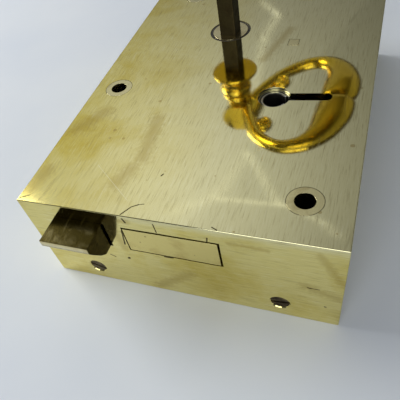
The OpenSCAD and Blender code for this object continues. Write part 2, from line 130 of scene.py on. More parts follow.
def ramp(tree, factor, *stops):
    """A colour ramp through (place, colour) stops."""
    node = add(tree, "ShaderNodeValToRGB", {"Fac": factor})
    steps = node.color_ramp.elements
    while len(steps) < len(stops):
        steps.new(0.5)
    for step, (place, colour) in zip(steps, stops):
        step.position = place
        step.color = (*colour, 1.0)
    return node.outputs["Color"]


def finish_material(name, slot_colour=(0.6, 0.5, 0.3)):
    """An empty material with its Principled shader, and what its patterns read."""
    material = bpy.data.materials.new(name)
    material.use_nodes = True
    material.diffuse_color = (*slot_colour, 1.0)
    tree = material.node_tree
    shader = tree.nodes["Principled BSDF"]
    place = add(tree, "ShaderNodeTexCoord")
    return material, tree, shader, place.outputs["Object"], place.outputs["Normal"]


def piece_from(name, bm, material=None):
    """A new object at the origin from finished bmesh geometry."""
    mesh = bpy.data.meshes.new(name)
    bm.to_mesh(mesh)
    bm.free()
    piece = bpy.data.objects.new(name, mesh)
    scene.collection.objects.link(piece)
    if material:
        mesh.materials.append(material)
    return piece


card_white = (0.74, 0.77, 0.80)
card, tree, shader, place, normal = finish_material("pale_card", card_white)
shade = ramp(tree, noise(tree, place, 14.0, 4.0), (0.3, (0.70, 0.735, 0.775)), (0.75, (0.76, 0.785, 0.80)))
tree.links.new(shade, shader.inputs["Base Color"])
shader.inputs["Roughness"].default_value = 0.75
shader.inputs["Specular IOR Level"].default_value = 0.2

just_below = -0.05 * MM
bm = bmesh.new()
bmesh.ops.create_grid(bm, x_segments=1, y_segments=1, size=1.6)
floor = piece_from("table_card", bm, card)
floor.location.z = just_below

# daylight: a broad bright patch high on the left behind the lock, in a dim room
world = bpy.data.worlds.new("soft_daylight")
scene.world = world
world.use_nodes = True
tree = world.node_tree
sky_way = add(tree, "ShaderNodeTexCoord").outputs["Generated"]
window_way = Vector((-0.413, 0.568, 0.711)).normalized()
toward = vectors(tree, "DOT_PRODUCT", sky_way, window_way)
patch = sums(tree, "POWER", scaled(tree, toward, 0.5, 0.5), 22.0)
light_sum = scaled(tree, patch, 0.70, 0.105)


def seam(tree, way, start, end, width, strength):
    """A soft bright line across the sky between two directions, where two sheets of the light tent meet."""
    middle = (start + end).normalized()
    reach = math.acos(middle.dot(start)) + width / 2
    off = vectors(tree, "DOT_PRODUCT", way, start.cross(end).normalized())
    near = spread(tree, sums(tree, "ABSOLUTE", off), width, width * 0.2, "SMOOTHSTEP")
    along = vectors(tree, "DOT_PRODUCT", way, middle)
    within = sums(tree, "GREATER_THAN", along, math.cos(reach))
    return scaled(tree, scaled(tree, near, within), strength)



def sky_point(bearing, height):
    """A direction: degrees to the left of the lock's long axis, and degrees above the table."""
    bearing, height = math.radians(bearing), math.radians(height)
    level = math.cos(height)
    return Vector((-math.sin(bearing) * level, math.cos(bearing) * level, math.sin(height)))


# each seam of the light tent: its width, its brightness, and where it runs
seams = ((0.0050, 0.38, ((17.5, 42.5), (22.5, 46.5), (25, 47.5), (33.5, 48))),
         (0.0048, 0.48, ((17.5, 42.5), (13.5, 48.5), (12, 49.5))),
         (0.0050, 0.35, ((25, 47.5), (10.5, 49.5), (4, 51.5), (1, 53))),
         (0.0064, 0.33, ((14, 25.5), (12, 27), (14, 29.5), (16.5, 37.5))))
for width, strength, run in seams:
    for start, end in zip(run, run[1:]):
        bright = seam(tree, sky_way, sky_point(*start), sky_point(*end), width, strength)
        light_sum = sums(tree, "ADD", light_sum, bright)
# behind the fold from its peak, the tent is a tenth darker
fold_side = sky_point(17.5, 42.5).cross(sky_point(25, 47.5)).normalized()
behind_fold = vectors(tree, "DOT_PRODUCT", sky_way, fold_side)
shade_side = spread(tree, behind_fold, -0.004, 0.004)
light_sum = scaled(tree, light_sum, scaled(tree, shade_side, -0.10, 1.0))
glow = ramp(tree, light_sum, (0.0, (0, 0, 0)), (1.0, (0.97, 1.0, 1.03)))
background = tree.nodes["Background"]
tree.links.new(glow, background.inputs["Color"])
background.inputs["Strength"].default_value = 1.0

for name, size, energy, colour, spot in (
        ("window", (0.6, 0.5), 8.0, (0.97, 0.985, 1.0), (-0.88, 0.12, 0.58)),
        ("room", (0.9, 0.9), 6.5, (0.93, 0.97, 1.05), (0.12, -0.92, 0.62))):
    panel = bpy.data.lights.new(name, "AREA")
    panel.shape = "RECTANGLE"
    panel.size, panel.size_y = size
    panel.energy = energy
    panel.color = colour
    lamp = bpy.data.objects.new(name, panel)
    scene.collection.objects.link(lamp)
    lamp.location = spot
    lamp.rotation_euler = (-Vector(spot)).to_track_quat("-Z", "Y").to_euler()

# ---------------------------------------------------------------- case
# Box of brass plate: a flat face, a thicker forend that the bolts come through, and three thin
# walls, brazed into one shell and filed flush. Polished, then dulled by handling and old polish.


def block(bm, low, high):
    """A closed cuboid between two corners."""
    size = [b - a for a, b in zip(low, high)]
    middle = [(a + b) / 2 for a, b in zip(low, high)]
    bmesh.ops.create_cube(bm, size=1.0, matrix=Matrix.Translation(middle) @ Matrix.Diagonal((*size, 1.0)))


def rod(bm, foot, radius, length, way=(0, 0, 1), sides=96, far_radius=None):
    """A closed round rod or cone from foot, along way."""
    turn = Vector(way).to_track_quat("Z", "Y").to_matrix().to_4x4()
    middle = Vector(foot) + Vector(way).normalized() * length / 2
    bmesh.ops.create_cone(bm, cap_ends=True, segments=sides, radius1=radius,
                          radius2=radius if far_radius is None else far_radius, depth=length,
                          matrix=Matrix.Translation(middle) @ turn)


def prism(bm, outline, z0, z1):
    """A closed straight-sided solid over a flat outline, given anticlockwise."""
    low = [bm.verts.new((x, y, z0)) for x, y in outline]
    high = [bm.verts.new((x, y, z1)) for x, y in outline]
    bm.faces.new(list(reversed(low)))
    bm.faces.new(high)
    for i in range(len(outline)):
        j = (i + 1) % len(outline)
        bm.faces.new((low[i], low[j], high[j], high[i]))


def settle(piece):
    """The piece's modifiers are worked into its mesh."""
    depsgraph = bpy.context.evaluated_depsgraph_get()
    mesh = bpy.data.meshes.new_from_object(piece.evaluated_get(depsgraph))
    old = piece.data
    piece.modifiers.clear()
    piece.data = mesh
    bpy.data.meshes.remove(old)
    return piece


def cut(piece, *cutters):
    """Takes the cutters' solids out of the piece."""
    for bm in cutters:
        tool = piece_from("cutter", bm)
        step = piece.modifiers.new("cut", "BOOLEAN")
        step.operation = "DIFFERENCE"
        step.solver = "EXACT"
        step.object = tool
        settle(piece)
        bpy.data.objects.remove(tool)
    return piece


def smooth(piece):
    """The light rolls over the piece's faces."""
    for face in piece.data.polygons:
        face.use_smooth = True
    return piece


def even_flats(piece, keep_sharp):
    """Flat faces stay flat in the light, up to their rounded edges."""
    flats = piece.modifiers.new("flat_faces", "WEIGHTED_NORMAL")
    flats.keep_sharp = keep_sharp
    flats.weight = 80


def ease(piece, width, segments=3, angle=32):
    """Rounds the piece's edges a little and keeps its flats flat in the light."""
    smooth(piece)
    edges = piece.modifiers.new("eased_edges", "BEVEL")
    edges.width = width
    edges.segments = segments
    edges.limit_method = "ANGLE"
    edges.angle_limit = math.radians(angle)
    edges.miter_outer = "MITER_ARC"
    even_flats(piece, False)
    return piece


plates = ("case", "forend", "rim_left", "rim_right", "rim_rear")
case_low = Vector(map(min, *[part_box(plate)[0] for plate in plates]))
case_high = Vector(map(max, *[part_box(plate)[1] for plate in plates]))
face_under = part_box("forend")[1][2]
forend_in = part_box("forend")[1][1]
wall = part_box("rim_left")[1][0] - case_low.x
face_top = case_high.z
hub_x, hub_y = joints["hub_turn"]["pos_m"][:2]
key_x, key_y = joints["barrel_turn"]["pos_m"][:2]
fixing_holes = ("fixing_hole_front", "fixing_hole_side", "fixing_hole_rear")
pillar_places = [mounts[hole]["pos_m"][:2] for hole in fixing_holes]
pillar_radius = 5.2 * MM
hub_radius = 7.2 * MM
barrel_radius = 5.5 * MM
key_reach, key_width, key_tilt = 19.2 * MM, 3.9 * MM, math.radians(5)
screw_places = [(x * MM, 7.3 * MM) for x in (-32.8, 32.8)]
screw_head = 3.0 * MM
screw_hole = 1.65 * MM
screw_sink_room = 0.75 * MM
latch_left, latch_right = -39.0 * MM, -21.9 * MM
latch_foot, latch_top = 23.3 * MM, 34.3 * MM
bolt_left, bolt_right = -14.9 * MM, 15.5 * MM
bolt_foot, bolt_top = 22.7 * MM, 33.4 * MM
gap = 0.35 * MM
over = 1.0 * MM
edge_round = 0.30 * MM
groove_width = 1.2 * MM
groove_depth = 1.2 * MM
flush_gap = 0.13 * MM
turning_gap = 0.05 * MM
through = 5 * MM


def key_outline(radius):
    """Round hole and slot with a round end, as one outline."""
    half = key_width / 2
    start = math.asin(half / radius)
    points = []
    for i in range(61):
        a = start + (2 * math.pi - 2 * start) * i / 60
        points.append((radius * math.cos(a), radius * math.sin(a)))
    for i in range(17):
        a = -math.pi / 2 + math.pi * i / 16
        points.append((key_reach - key_width / 2 + half * math.cos(a), half * math.sin(a)))
    c, s = math.cos(key_tilt), math.sin(key_tilt)
    return [(key_x + x * c - y * s, key_y + x * s + y * c) for x, y in points]


bm = bmesh.new()
block(bm, case_low, case_high)
bmesh.ops.bevel(bm, geom=bm.edges[:], offset=edge_round, segments=3, profile=0.5, affect="EDGES")
shell = piece_from("case_shell", bm)

inside = bmesh.new()
block(inside, (case_low.x + wall, forend_in, case_low.z - over),
      (case_high.x - wall, case_high.y - wall, face_under))
mouths = bmesh.new()
block(mouths, (latch_left - 0.6 * gap, case_low.y - over, latch_foot - gap),
      (latch_right + 2 * gap, forend_in + over, latch_top + 0.3 * gap))
block(mouths, (bolt_left - gap, case_low.y - over, bolt_foot - gap),
      (bolt_right + 2 * gap, forend_in + over, bolt_top + 2.2 * gap))
sinks, drillings = bmesh.new(), bmesh.new()
for x, z in screw_places:
    for y, way in ((case_low.y, 1), (case_high.y, -1)):
        rod(sinks, (x, y - 0.4 * MM * way, z), screw_head + screw_sink_room, 2.1 * MM, (0, way, 0), 64,
            screw_hole)
        rod(drillings, (x, y - 0.5 * MM * way, z), screw_hole, through, (0, way, 0), 48)
face_holes = bmesh.new()
for x, y in pillar_places:
    rod(face_holes, (x, y, face_under - over), pillar_radius + flush_gap, through)
rod(face_holes, (hub_x, hub_y, face_under - over), hub_radius + turning_gap, through, sides=128)
bar_low, bar_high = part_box("spring_bar")
block(face_holes, (bar_low[0] - flush_gap, bar_low[1] - flush_gap, face_under - over),
      (bar_high[0] + flush_gap, bar_high[1] + flush_gap, face_top + over))
prism(face_holes, key_outline(barrel_radius + turning_gap), face_under - over, face_top + over)
hub_groove = bmesh.new()
rod(hub_groove, (hub_x, hub_y, face_top - groove_depth), hub_radius + groove_width, 3 * MM, sides=128)
cut(shell, inside, mouths, sinks, drillings, face_holes, hub_groove)
smooth(shell)
shell.data.set_sharp_from_angle(angle=math.radians(40))
even_flats(shell, True)


def pattern_group(name, wanted, given):
    """An empty shader node group: its inputs are places (None) or numbers, and it gives masks."""
    group = bpy.data.node_groups.new(name, "ShaderNodeTree")
    for label, value in wanted.items():
        kind = "NodeSocketVector" if value is None else "NodeSocketFloat"
        socket = group.interface.new_socket(name=label, in_out="INPUT", socket_type=kind)
        if value is not None:
            socket.default_value = value
    for label in given:
        group.interface.new_socket(name=label, in_out="OUTPUT", socket_type="NodeSocketFloat")
    return group, group.nodes.new("NodeGroupInput").outputs, group.nodes.new("NodeGroupOutput").inputs


# Fine lines left by the file and the polishing cloth, along one way on each side of a flat piece
brushing, given, result = pattern_group(
    "brushing", {"Place": None, "Facing": None, "Fineness": 5200.0, "Length": 90.0}, ("Lines", "Scratches"))
facing = add(brushing, "ShaderNodeSeparateXYZ", {0: given["Facing"]}).outputs
at = add(brushing, "ShaderNodeSeparateXYZ", {0: given["Place"]}).outputs
up = sums(brushing, "GREATER_THAN", sums(brushing, "ABSOLUTE", facing["Z"]), 0.6)
front = sums(brushing, "GREATER_THAN", sums(brushing, "ABSOLUTE", facing["Y"]), 0.6)
along = add(brushing, "ShaderNodeMix", {"Factor": front, "A": at["Y"], "B": at["X"]}).outputs["Result"]
across = add(brushing, "ShaderNodeMix", {"Factor": up, "A": at["Z"], "B": at["X"]}).outputs["Result"]
lie = []
for tilt, scale in ((0.0, 1.0), (0.09, 0.7), (-0.16, 0.5)):
    slanted = scaled(brushing, along, tilt, across)
    lie.append(add(brushing, "ShaderNodeCombineXYZ", {
        "X": scaled(brushing, slanted, scaled(brushing, given["Fineness"], scale)),
        "Y": scaled(brushing, along, given["Length"])}).outputs[0])
fine = add(brushing, "ShaderNodeTexNoise", {"Vector": lie[0], "Scale": 1.0, "Detail": 5.0, "Roughness": 0.7})
deep = sums(brushing, "MAXIMUM", *[noise(brushing, way, 0.35, 2.0) for way in lie[1:]])
brushing.links.new(fine.outputs["Fac"], result["Lines"])
brushing.links.new(spread(brushing, deep, 0.66, 0.80), result["Scratches"])

# Cloudy brown film that old polish and handling leave
tarnish, given, result = pattern_group(
    "tarnish", {"Place": None, "Size": 60.0, "Start": 0.45, "End": 0.75}, ("Film", "Spots"))
cloud = add(tarnish, "ShaderNodeTexNoise", {"Vector": given["Place"], "Scale": given["Size"], "Detail": 6.0,
                                            "Roughness": 0.62, "Distortion": 0.4})
film = spread(tarnish, cloud.outputs["Fac"], given["Start"], given["End"])
dots = add(tarnish, "ShaderNodeTexVoronoi", {
    "Vector": given["Place"], "Scale": scaled(tarnish, given["Size"], 5.0)}).outputs
chance = add(tarnish, "ShaderNodeSeparateXYZ", {0: dots["Color"]}).outputs["X"]
spot = sums(tarnish, "LESS_THAN", dots["Distance"], scaled(tarnish, chance, 0.5, -0.36))
tarnish.links.new(film, result["Film"])
tarnish.links.new(spot, result["Spots"])


# One stroke of a mark: a ragged line between two points on the metal
stroke, given, result = pattern_group(
    "stroke", {"Place": None, "From": None, "To": None, "Width": 1 * MM, "Soft": 0.5, "Ragged": 0.3},
    ("Mask",))
to_place = vectors(stroke, "SUBTRACT", given["Place"], given["From"])
span = vectors(stroke, "SUBTRACT", given["To"], given["From"])
run = vectors(stroke, "DOT_PRODUCT", to_place, span)
length = sums(stroke, "ADD", vectors(stroke, "DOT_PRODUCT", span, span), 1e-12)
share = sums(stroke, "DIVIDE", run, length, clamp=True)
foot = add(stroke, "ShaderNodeVectorMath", {0: span, "Scale": share}, operation="SCALE").outputs[0]
off_line = vectors(stroke, "DISTANCE", to_place, foot)
rough_edge = sums(stroke, "SUBTRACT", noise(stroke, given["Place"], 700.0, 3.0), 0.5)
reach = scaled(stroke, scaled(stroke, rough_edge, given["Ragged"], 0.5), 2.0)
reach = scaled(stroke, reach, given["Width"])
inner = scaled(stroke, reach, sums(stroke, "SUBTRACT", 1.0, given["Soft"]))
stroke.links.new(spread(stroke, off_line, reach, inner, "SMOOTHSTEP"), result["Mask"])


def use(tree, group, **inputs):
    """A group placed in a material."""
    return add(tree, "ShaderNodeGroup", inputs, node_tree=group).outputs


def blend_colour(tree, factor, first, second):
    """One colour laid over another by a mask."""
    return add(tree, "ShaderNodeMix", {0: factor, 6: first, 7: second}, data_type="RGBA").outputs[2]


def surface(tree, shader, colour, rough, relief, strength, depth):
    """What a metal's patterns come to: its colour, its roughness and its relief."""
    shader.inputs["Metallic"].default_value = 1.0
    bump = add(tree, "ShaderNodeBump", {"Strength": strength, "Distance": depth, "Height": relief})
    tree.links.new(colour, shader.inputs["Base Color"])
    tree.links.new(rough, shader.inputs["Roughness"])
    tree.links.new(bump.outputs["Normal"], shader.inputs["Normal"])


bright_brass = (0.80, 0.74, 0.41)
worn_brass = (0.77, 0.63, 0.10)
brown_film = (0.40, 0.27, 0.06)
case_brass, tree, shader, place, normal = finish_material("case_brass", bright_brass)
lines = use(tree, brushing, Place=place, Facing=normal)
film = use(tree, tarnish, Place=place, Size=38.0, Start=0.47, End=0.78)
at = add(tree, "ShaderNodeSeparateXYZ", {0: place}).outputs
# the film is thickest along the left side, and on the walls
from_left = spread(tree, at["X"], case_low.x + 58 * MM, case_low.x - 4 * MM)
on_walls = spread(tree, at["Z"], face_top - 0.2 * MM, face_top - 3 * MM)
held = sums(tree, "MAXIMUM", scaled(tree, from_left, 1.25), scaled(tree, on_walls, 0.85))
dulled = scaled(tree, held, scaled(tree, film["Film"], 0.7, 0.55), clamp=True)
colour = blend_colour(tree, dulled, bright_brass, worn_brass)
brown = scaled(tree, film["Film"], scaled(tree, held, 0.45, 0.05), clamp=True)
colour = blend_colour(tree, brown, colour, brown_film)
colour = blend_colour(tree, scaled(tree, film["Spots"], 0.5), colour, brown_film)
# visible strokes of the emery, and broader ones crossing them at a slant
hatch = use(tree, brushing, Place=place, Facing=normal, Fineness=2100.0, Length=110.0)
hatched = spread(tree, hatch["Lines"], 0.47, 0.32)
bare = spread(tree, hatch["Lines"], 0.54, 0.70)
colour = blend_colour(tree, scaled(tree, hatched, 0.46), colour, (0.30, 0.24, 0.09))
colour = blend_colour(tree, scaled(tree, bare, 0.42), colour, (0.95, 0.91, 0.62))
colour = blend_colour(tree, scaled(tree, hatch["Scratches"], 0.30), colour, (0.24, 0.18, 0.06))


def on_face(x, y):
    """A place on the face, in mm."""
    return x * MM, y * MM, face_top


def on_forend(x, z):
    """A place on the forend, in mm."""
    return x * MM, case_low.y, z * MM


def marks(side, soft, *strokes):
    """The masks of strokes on one side: two ends and half a width in mm, and how ragged."""
    return [use(tree, stroke, Place=place, From=side(a, b), To=side(c, d), Width=width * MM, Soft=soft,
                Ragged=ragged)["Mask"] for a, b, c, d, width, ragged in strokes]


# brown smears left by wet hands on the face, wide stains on the forend, and a darker brown strip on the forend
# between the latch and bolt mouths
brown_marks = marks(on_face, 1.0,
               (-18, -32, -16, -52, 4.4, 1.0), (-20.5, -64, -18, -57, 4.6, 1.0),
               (-47, -41, -40, -30, 5.5, 1.0), (17, 28, 11, 6, 3.0, 1.0), (-50, -74, -47, -62, 5.0, 1.0))
# on the forend, the stroke from (-18.5, 37) to (-17, 23) is the darker brown strip between the latch and bolt
# mouths
brown_marks += marks(on_forend, 1.0,
                (19, 35.3, 30, 34.6, 1.6, 1.2), (-34, 38.6, -12, 37.4, 2.2, 0.8), (-9, 3, 4, 14, 3.4, 1.2),
                (40, 20, 50, 16, 3.0, 1.2), (-18.5, 37, -17, 23, 2.6, 0.8), (44, 36, 50.5, 24, 2.4, 1.0))
for brown_mark in brown_marks:
    colour = blend_colour(tree, scaled(tree, brown_mark, 0.42), colour, (0.40, 0.28, 0.055))
# black nicks, dents and old scratches
nicks = marks(on_face, 0.4,
              (-13.5, -75.4, -11.4, -72.1, 0.26, 0.5), (-11.4, -72.1, -9.4, -70.8, 0.24, 0.5),
              (-9.4, -70.8, -7.8, -70.3, 0.16, 0.5), (14.6, -74.9, 16.2, -75.6, 0.22, 0.5),
              (-50.3, -74.9, -47.2, -73.2, 0.2, 0.5), (-6.8, -58.4, -6.4, -57.6, 0.25, 0.5))
nicks += marks(on_forend, 0.4,
               (-3.2, 38.4, -3.0, 34.6, 0.28, 0.5), (-13.2, 38.7, -12.6, 37.2, 0.4, 0.5),
               (-15.2, 32.6, -16.3, 25.2, 0.34, 0.5), (-3.2, 22.0, -0.4, 22.2, 0.42, 0.5),
               (-17.4, 17.0, -17.1, 17.3, 0.62, 0.5), (-24.4, 17.2, -22.6, 16.4, 0.26, 0.5),
               (12.6, 34.0, 12.9, 36.0, 0.26, 0.5), (-49.4, 21, -48.2, 18.4, 0.2, 0.5),
               (46.2, 10.2, 46.6, 10.2, 0.3, 0.5))
nicks += marks(on_forend, 0.8, (41.0, 19.4, 44.4, 19.4, 0.34, 1.4))
nicked = nicks[0]
for nick in nicks[1:]:
    nicked = sums(tree, "MAXIMUM", nicked, nick)
colour = blend_colour(tree, scaled(tree, nicked, 0.9), colour, (0.05, 0.035, 0.012))
hairline, = marks(on_face, 0.8, (-30.0, -57.0, -13.8, -69.7, 0.10, 0.2))
colour = blend_colour(tree, scaled(tree, hairline, 0.6), colour, (0.97, 0.93, 0.66))
rough = scaled(tree, lines["Lines"], 0.05, 0.02)
for mask, added in ((hatched, 0.10), (dulled, 0.14), (nicked, 0.45), (lines["Scratches"], 0.15)):
    rough = scaled(tree, mask, added, rough)
relief = lines["Lines"]
for mask, added in ((lines["Scratches"], -0.7), (nicked, -6.0), (noise(tree, place, 30.0, 1.0), 3.0)):
    relief = scaled(tree, mask, added, relief)
surface(tree, shader, colour, rough, relief, 0.16, 0.02 * MM)
shell.data.materials.clear()
shell.data.materials.append(case_brass)
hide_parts(*plates)
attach(shell, "lock_case")

# ---------------------------------------------------------------- back cover and its lugs
# Flat sheet of brass let into the back of the case, holed for the pillars, hub and key, with four
# lugs brazed on for the screws. Never polished: dull, brown and rubbed by the door.


def cad_copy(node, name):
    """A CAD node's shape as a new piece with shared corners and whole flat faces."""
    bm = bmesh.new()
    bm.from_mesh(nodes[node].data)
    bmesh.ops.remove_doubles(bm, verts=bm.verts, dist=1e-6)
    bmesh.ops.dissolve_limit(bm, angle_limit=math.radians(0.6), verts=bm.verts, edges=bm.edges)
    return piece_from(name, bm)


def dress(piece, material, body, *stands_for, slot=None):
    """Gives a finished piece its material and tells the frame what it is. The slot is not used."""
    piece.data.materials.clear()
    piece.data.materials.append(material)
    if stands_for:
        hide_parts(*stands_for)
    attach(piece, body)
    return piece


def fitted(node, name, material, body, width, segments=2):
    """A CAD node's shape with its edges eased by a width in mm, dressed in its place."""
    return dress(ease(cad_copy(node, name), width * MM, segments), material, body, node)


def old_brass(name, colour, worn, brown, roughness, size=60.0, start=0.42, end=0.72, line_depth=0.2):
    """Brass with file lines and a brown film, more or less dull."""
    material, tree, shader, place, normal = finish_material(name, colour)
    lines = use(tree, brushing, Place=place, Facing=normal, Fineness=4200.0)
    film = use(tree, tarnish, Place=place, Size=size, Start=start, End=end)
    mixed = blend_colour(tree, lines["Lines"], colour, worn)
    mixed = blend_colour(tree, film["Film"], mixed, brown)
    dark_brown = tuple(c * 0.3 for c in brown)
    mixed = blend_colour(tree, scaled(tree, film["Spots"], 0.6), mixed, dark_brown)
    rough = scaled(tree, film["Film"], 0.18, roughness)
    rough = scaled(tree, lines["Lines"], 0.12, rough)
    relief = scaled(tree, lines["Scratches"], -0.8, lines["Lines"])
    relief = scaled(tree, film["Film"], -0.6, relief)
    surface(tree, shader, mixed, rough, relief, line_depth, 0.03 * MM)
    return material


cover_brass = old_brass("cover_brass", (0.60, 0.47, 0.22), (0.50, 0.38, 0.17), (0.22, 0.14, 0.06),
                        0.30, size=45.0)
fitted("back_cover", "back_cover_sheet", cover_brass, "lock_case", 0.15)
fitted("cover_lugs", "cover_lug_blocks", cover_brass, "lock_case", 0.3)

# ---------------------------------------------------------------- cover screws
# Four slotted countersunk screws, two through the forend and two through the rear wall into the
# cover's lugs. Aged dark brass; the slots have been turned often.


def node_tree(name, sizes):
    """An empty geometry tree with named sizes and a material, and its ends."""
    tree = bpy.data.node_groups.new(name, "GeometryNodeTree")
    tree.interface.new_socket(name="Geometry", in_out="INPUT", socket_type="NodeSocketGeometry")
    for label, value in sizes.items():
        kind = "NodeSocketInt" if isinstance(value, int) else "NodeSocketFloat"
        tree.interface.new_socket(name=label, in_out="INPUT", socket_type=kind).default_value = value
    tree.interface.new_socket(name="Material", in_out="INPUT", socket_type="NodeSocketMaterial")
    tree.interface.new_socket(name="Geometry", in_out="OUTPUT", socket_type="NodeSocketGeometry")
    return tree, tree.nodes.new("NodeGroupInput").outputs, tree.nodes.new("NodeGroupOutput")


def close_tree(tree, shape, size, result, **turn):
    """The shape on each point, as real geometry with its material, at the end of every tree."""
    set_on = add(tree, "GeometryNodeInstanceOnPoints", {
        "Points": size["Geometry"], "Instance": shape, **turn})
    real = add(tree, "GeometryNodeRealizeInstances", {"Geometry": set_on.outputs[0]})
    dressed = add(tree, "GeometryNodeSetMaterial", {
        "Geometry": real.outputs[0], "Material": size["Material"]})
    tree.links.new(dressed.outputs[0], result.inputs[0])


def grow(name, tree, host, sizes, material):
    """Runs a geometry tree on a host object and keeps the result as a plain mesh."""
    step = host.modifiers.new("grow", "NODES")
    step.node_group = tree
    values = {**sizes, "Material": material}
    for item in tree.interface.items_tree:
        if item.name in values:
            step[item.identifier] = values[item.name]
    host.name = name
    host.update_tag()
    return settle(host)


def points(name, places, **numbers):
    """A host of loose points, each with its own numbers."""
    mesh = bpy.data.meshes.new(name)
    mesh.from_pydata([tuple(p) for p in places], [], [])
    for label, values in numbers.items():
        mesh.attributes.new(label, "FLOAT", "POINT").data.foreach_set("value", values)
    host = bpy.data.objects.new(name, mesh)
    scene.collection.objects.link(host)
    return host


screw_sizes = {"Head Radius": screw_head, "Head Depth": 1.4 * MM, "Shank Radius": 1.6 * MM,
               "Length": 7.3 * MM, "Slot Width": 0.9 * MM, "Slot Depth": 0.8 * MM}
screw_tree, size, result = node_tree("slotted_screws", screw_sizes)
head = add(screw_tree, "GeometryNodeMeshCone", {
    "Vertices": 64, "Radius Top": size["Shank Radius"], "Radius Bottom": size["Head Radius"],
    "Depth": size["Head Depth"]})
shank = add(screw_tree, "GeometryNodeMeshCylinder", {
    "Vertices": 48, "Radius": size["Shank Radius"], "Depth": size["Length"]})
shank_lift = add(screw_tree, "ShaderNodeCombineXYZ", {"Z": scaled(screw_tree, size["Length"], 0.5, 0.1 * MM)})
shank = add(screw_tree, "GeometryNodeTransform", {
    "Geometry": shank.outputs["Mesh"], "Translation": shank_lift.outputs[0]})
slot_size = add(screw_tree, "ShaderNodeCombineXYZ", {
    "X": 20 * MM, "Y": size["Slot Width"], "Z": scaled(screw_tree, size["Slot Depth"], 2.0)})
slot_block = add(screw_tree, "GeometryNodeMeshCube", {"Size": slot_size.outputs[0]})
whole = add(screw_tree, "GeometryNodeMeshBoolean", operation="UNION", solver="EXACT")
screw_tree.links.new(head.outputs["Mesh"], whole.inputs["Mesh 2"])
screw_tree.links.new(shank.outputs[0], whole.inputs["Mesh 2"])
slotted = add(screw_tree, "GeometryNodeMeshBoolean", {
    "Mesh 1": whole.outputs[0], "Mesh 2": slot_block.outputs["Mesh"]}, operation="DIFFERENCE", solver="EXACT")


def point_turn(label, **fixed):
    """A turn about Z that each point carries, after a fixed one."""
    angle = add(screw_tree, "GeometryNodeInputNamedAttribute", {"Name": label}, data_type="FLOAT")
    angles = add(screw_tree, "ShaderNodeCombineXYZ", {"Z": angle.outputs["Attribute"], **fixed})
    return add(screw_tree, "FunctionNodeEulerToRotation", {"Euler": angles.outputs[0]}).outputs[0]


both = add(screw_tree, "FunctionNodeRotateRotation", {
    "Rotation": point_turn("facing", X=-math.pi / 2), "Rotate By": point_turn("slot_turn")},
           rotation_space="LOCAL")
close_tree(screw_tree, slotted.outputs[0], size, result, Rotation=both.outputs[0])

screw_steel = old_brass("screw_steel", (0.20, 0.155, 0.075), (0.13, 0.10, 0.05), (0.05, 0.035, 0.02),
                        0.38, size=260.0, start=0.40, end=0.62, line_depth=0.5)
screw_sink = 0.25 * MM
host = points("screw_points",
              [(x, case_low.y + screw_sink, z) for x, z in screw_places] +
              [(x, case_high.y - screw_sink, z) for x, z in screw_places],
              facing=[0.0, 0.0, math.pi, math.pi], slot_turn=[0.35, -0.15, 0.9, 0.2])
screws = grow("cover_screw_set", screw_tree, host, screw_sizes, screw_steel)
dress(ease(screws, 0.12 * MM, 2), screw_steel, "lock_case", "cover_screws")

# ---------------------------------------------------------------- fixing pillars and spring bar
# Brass tubes that the fixing screws pass through, and the square bar that the lever springs bear
# on. All are riveted through the face and filed flush, so only a fine dark ring shows.



def tube(tree, sides, radius, hole_radius, length):
    """A round tube along Z, in a geometry tree."""
    outer, inner = [
        add(tree, "GeometryNodeMeshCylinder", {"Vertices": sides, "Radius": around, "Depth": depth}).outputs[0]
        for around, depth in ((radius, length), (hole_radius, scaled(tree, length, 3.0)))]
    return add(tree, "GeometryNodeMeshBoolean", {"Mesh 1": outer, "Mesh 2": inner},
               operation="DIFFERENCE", solver="EXACT").outputs[0]


pillar_sizes = {"Radius": pillar_radius, "Bore Radius": 3.0 * MM, "Height": face_top}
pillar_tree, size, result = node_tree("pillars", pillar_sizes)
pillar_shape = tube(pillar_tree, 96, size["Radius"], size["Bore Radius"], size["Height"])
close_tree(pillar_tree, pillar_shape, size, result)

pillar_brass = old_brass("pillar_brass", (0.76, 0.69, 0.37), (0.70, 0.61, 0.30), (0.40, 0.29, 0.10),
                         0.07, size=90.0, start=0.55, end=0.85)
host = points("pillar_points", [(x, y, face_top / 2) for x, y in pillar_places])
pillars = grow("fixing_pillar_set", pillar_tree, host, pillar_sizes, pillar_brass)
dress(ease(pillars, 0.05 * MM, 2), pillar_brass, "lock_case", "fixing_pillars")
fitted("spring_bar", "spring_bar_flush", pillar_brass, "lock_case", 0.06)

# ---------------------------------------------------------------- latch bolt
# Cast brass bolt, flat on top, blunt at the nose and bevelled underneath, which a spring pushes
# out. Its corners are rubbed round by the keeper and its sides are brown.

dark_patina = (0.036, 0.027, 0.004)
latch_brass, tree, shader, place, normal = finish_material("latch_brass", (0.62, 0.53, 0.28))
lines = use(tree, brushing, Place=place, Facing=normal, Fineness=3200.0, Length=140.0)
film = use(tree, tarnish, Place=place, Size=150.0, Start=0.35, End=0.68)
facing = add(tree, "ShaderNodeSeparateXYZ", {0: normal}).outputs
on_top = sums(tree, "GREATER_THAN", facing["Z"], 0.75)
on_side = sums(tree, "GREATER_THAN", sums(tree, "ABSOLUTE", facing["X"]), 0.75)
film_depth = scaled(tree, film["Film"], 0.2, 0.93)
crusted = scaled(tree, sums(tree, "MAXIMUM", on_top, on_side), film_depth, clamp=True)
colour = blend_colour(tree, film["Film"], (0.74, 0.65, 0.33), (0.46, 0.36, 0.13))
colour = blend_colour(tree, crusted, colour, dark_patina)
colour = blend_colour(tree, scaled(tree, lines["Scratches"], 0.25), colour, (0.7, 0.6, 0.3))
rough = scaled(tree, crusted, 0.10, scaled(tree, lines["Lines"], 0.12, 0.10))
relief = scaled(tree, film["Film"], -0.8, lines["Lines"])
surface(tree, shader, colour, rough, relief, 0.3, 0.04 * MM)
